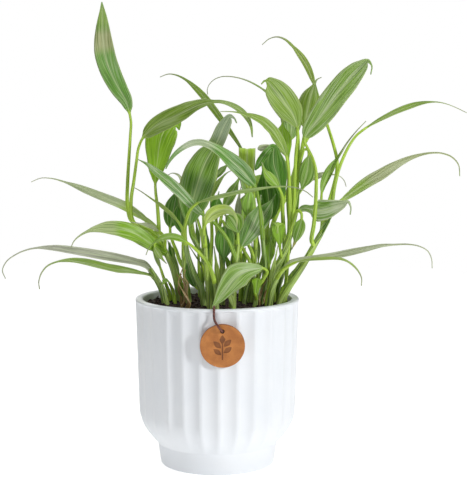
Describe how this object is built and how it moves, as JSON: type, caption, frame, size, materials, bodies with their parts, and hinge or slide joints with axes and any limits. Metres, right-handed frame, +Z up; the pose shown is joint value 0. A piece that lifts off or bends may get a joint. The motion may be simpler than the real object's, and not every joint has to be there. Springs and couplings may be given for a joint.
{
  "type": "potted foliage plant",
  "caption": "Leafy house plant with narrow silver-streaked leaves on sheathed stalks, in soil in a fluted white ceramic pot with a round leather tag.",
  "frame": {"origin": "middle of the pot's flat underside", "axes": "+Z up along the pot's axis, -Y to the front where the tag hangs, +X to the viewer's right"},
  "size_m": [0.4042, 0.2445, 0.3958],
  "materials": {
    "glazed_white": "satin white glaze",
    "potting_soil": "dark damp peat, stands in as loose stone",
    "tan_leather": "smooth tan leather",
    "brown_cord": "dark brown waxed cord",
    "leaf": "green leaf, stands in as soft plastic of about the density of plant tissue"
  },
  "bodies": {
    "root": {"pot": "glazed_white", "soil": "potting_soil", "tag": "tan_leather", "lace": "brown_cord", "lace_knot": "brown_cord", "shoot_left_low": "leaf", "shoot_left": "leaf", "shoot_inner_left": "leaf", "shoot_crossing": "leaf", "shoot_front_left": "leaf", "shoot_front": "leaf", "shoot_middle_left": "leaf", "shoot_middle_dark": "leaf", "shoot_middle": "leaf", "shoot_front_right": "leaf", "shoot_thin": "leaf", "shoot_centre": "leaf", "shoot_centre_front": "leaf", "shoot_centre_back": "leaf", "shoot_right_inner": "leaf", "shoot_right_back": "leaf", "shoot_right_low": "leaf", "shoot_right": "leaf", "shoot_back_left": "leaf", "shoot_back": "leaf", "shoot_back_right": "leaf"}
  },
  "joints": []
}
